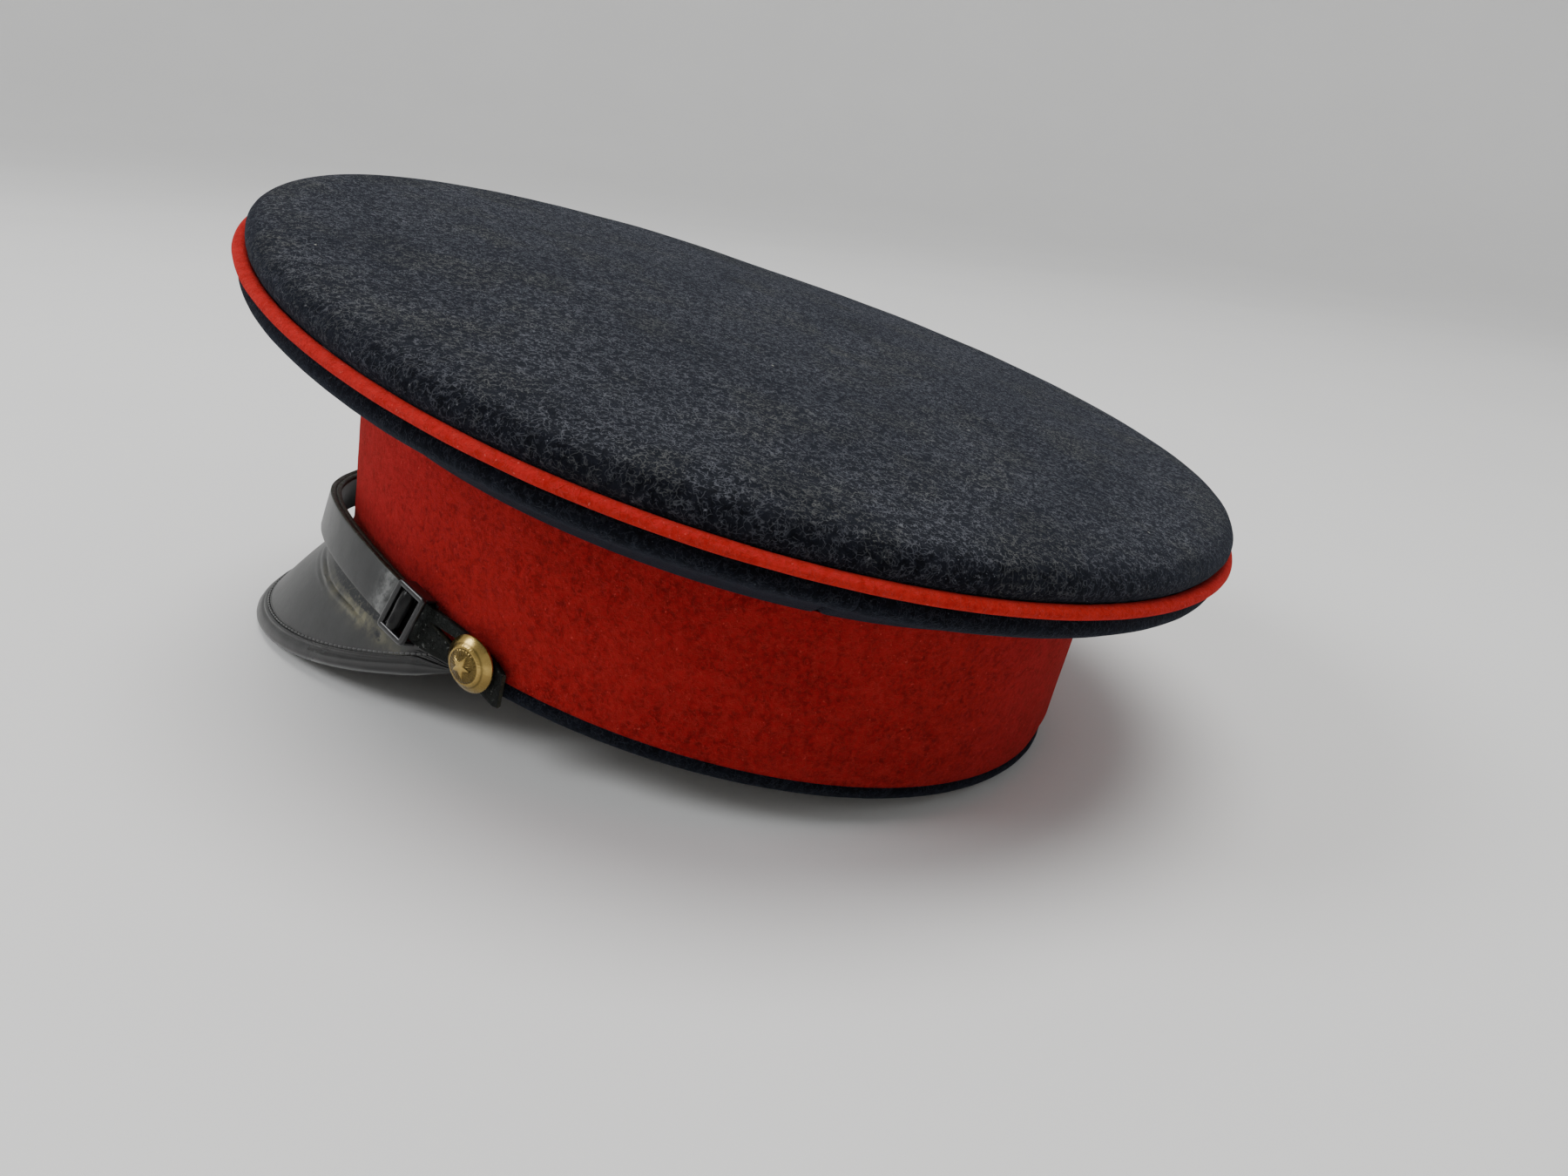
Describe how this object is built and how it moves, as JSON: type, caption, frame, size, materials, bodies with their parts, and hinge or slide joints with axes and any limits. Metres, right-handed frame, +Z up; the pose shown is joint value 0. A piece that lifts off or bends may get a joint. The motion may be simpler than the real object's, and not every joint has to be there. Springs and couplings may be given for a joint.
{
  "type": "military peaked cap",
  "caption": "Dress peaked cap with a round padded crown, tall stiffened band, moulded drooping peak, and a chin strap held by side buttons.",
  "frame": {"origin": "centre of the head opening, in the plane of the band's lower edge", "axes": "+Z up out of the crown, -Y towards the wearer's front (the peak), +X towards the wearer's left"},
  "size_m": [0.2538, 0.2662, 0.1281],
  "materials": {
    "navy_cloth": "milled wool melton with a soft nap",
    "red_cloth": "milled wool melton with a soft nap",
    "red_piping": "felted wool cord",
    "wadding": "loose cotton wadding",
    "spring_wire": "oiled spring wire",
    "brass": "dull brass",
    "button_brass": "aged stamped brass, rubbed bright on its edge",
    "buckram": "stiffened woven buckram",
    "sweatband_leather": "smooth worn leather",
    "lining_cloth": "glazed cotton lining",
    "clear_shield": "yellowed clear sheet",
    "peak_black": "moulded patent black, dulled by dust",
    "peak_underside": "fine grained leathercloth",
    "binding_black": "rolled patent binding",
    "strap_black": "patent finish gone dull, with green-brown cut edges",
    "slide_black": "glossy black"
  },
  "bodies": {
    "cap": {"crown_top": "navy_cloth", "crown_piping": "red_piping", "quarter_front_left": "navy_cloth", "quarter_rear_left": "navy_cloth", "quarter_rear_right": "navy_cloth", "quarter_front_right": "navy_cloth", "crown_padding": "wadding", "crown_hoop": "spring_wire", "hoop_ferrule": "brass", "front_stay": "buckram", "band_cloth": "red_cloth", "band_welt": "navy_cloth", "band_stiffener": "buckram", "sweatband": "sweatband_leather", "lining_side": "lining_cloth", "lining_tip": "lining_cloth", "sweat_shield": "clear_shield", "peak_body": "peak_black", "peak_lining": "peak_underside", "peak_binding": "binding_black", "eyelet_left": "brass", "eyelet_right": "brass"},
    "chin_strap": {"strap_outer": "strap_black", "strap_inner": "strap_black", "slide_left": "slide_black", "slide_right": "slide_black"},
    "left_button": {"button_shell_left": "button_brass", "button_back_left": "brass", "split_pin_left": "brass"},
    "right_button": {"button_shell_right": "button_brass", "button_back_right": "brass", "split_pin_right": "brass"}
  },
  "joints": [
    {"name": "chin_strap_lift", "type": "hinge", "parent": "cap", "child": "chin_strap", "pos_m": [0, -0.02654, 0.006], "axis": [-1, 0, 0], "range_deg": [0, 6.5]},
    {"name": "left_button_turn", "type": "hinge", "parent": "cap", "child": "left_button", "pos_m": [0.08036, -0.02596, 0.006], "axis": [0.9606, -0.278, 0], "continuous": true},
    {"name": "right_button_turn", "type": "hinge", "parent": "cap", "child": "right_button", "pos_m": [-0.08036, -0.02596, 0.006], "axis": [-0.9606, -0.278, 0], "continuous": true}
  ]
}
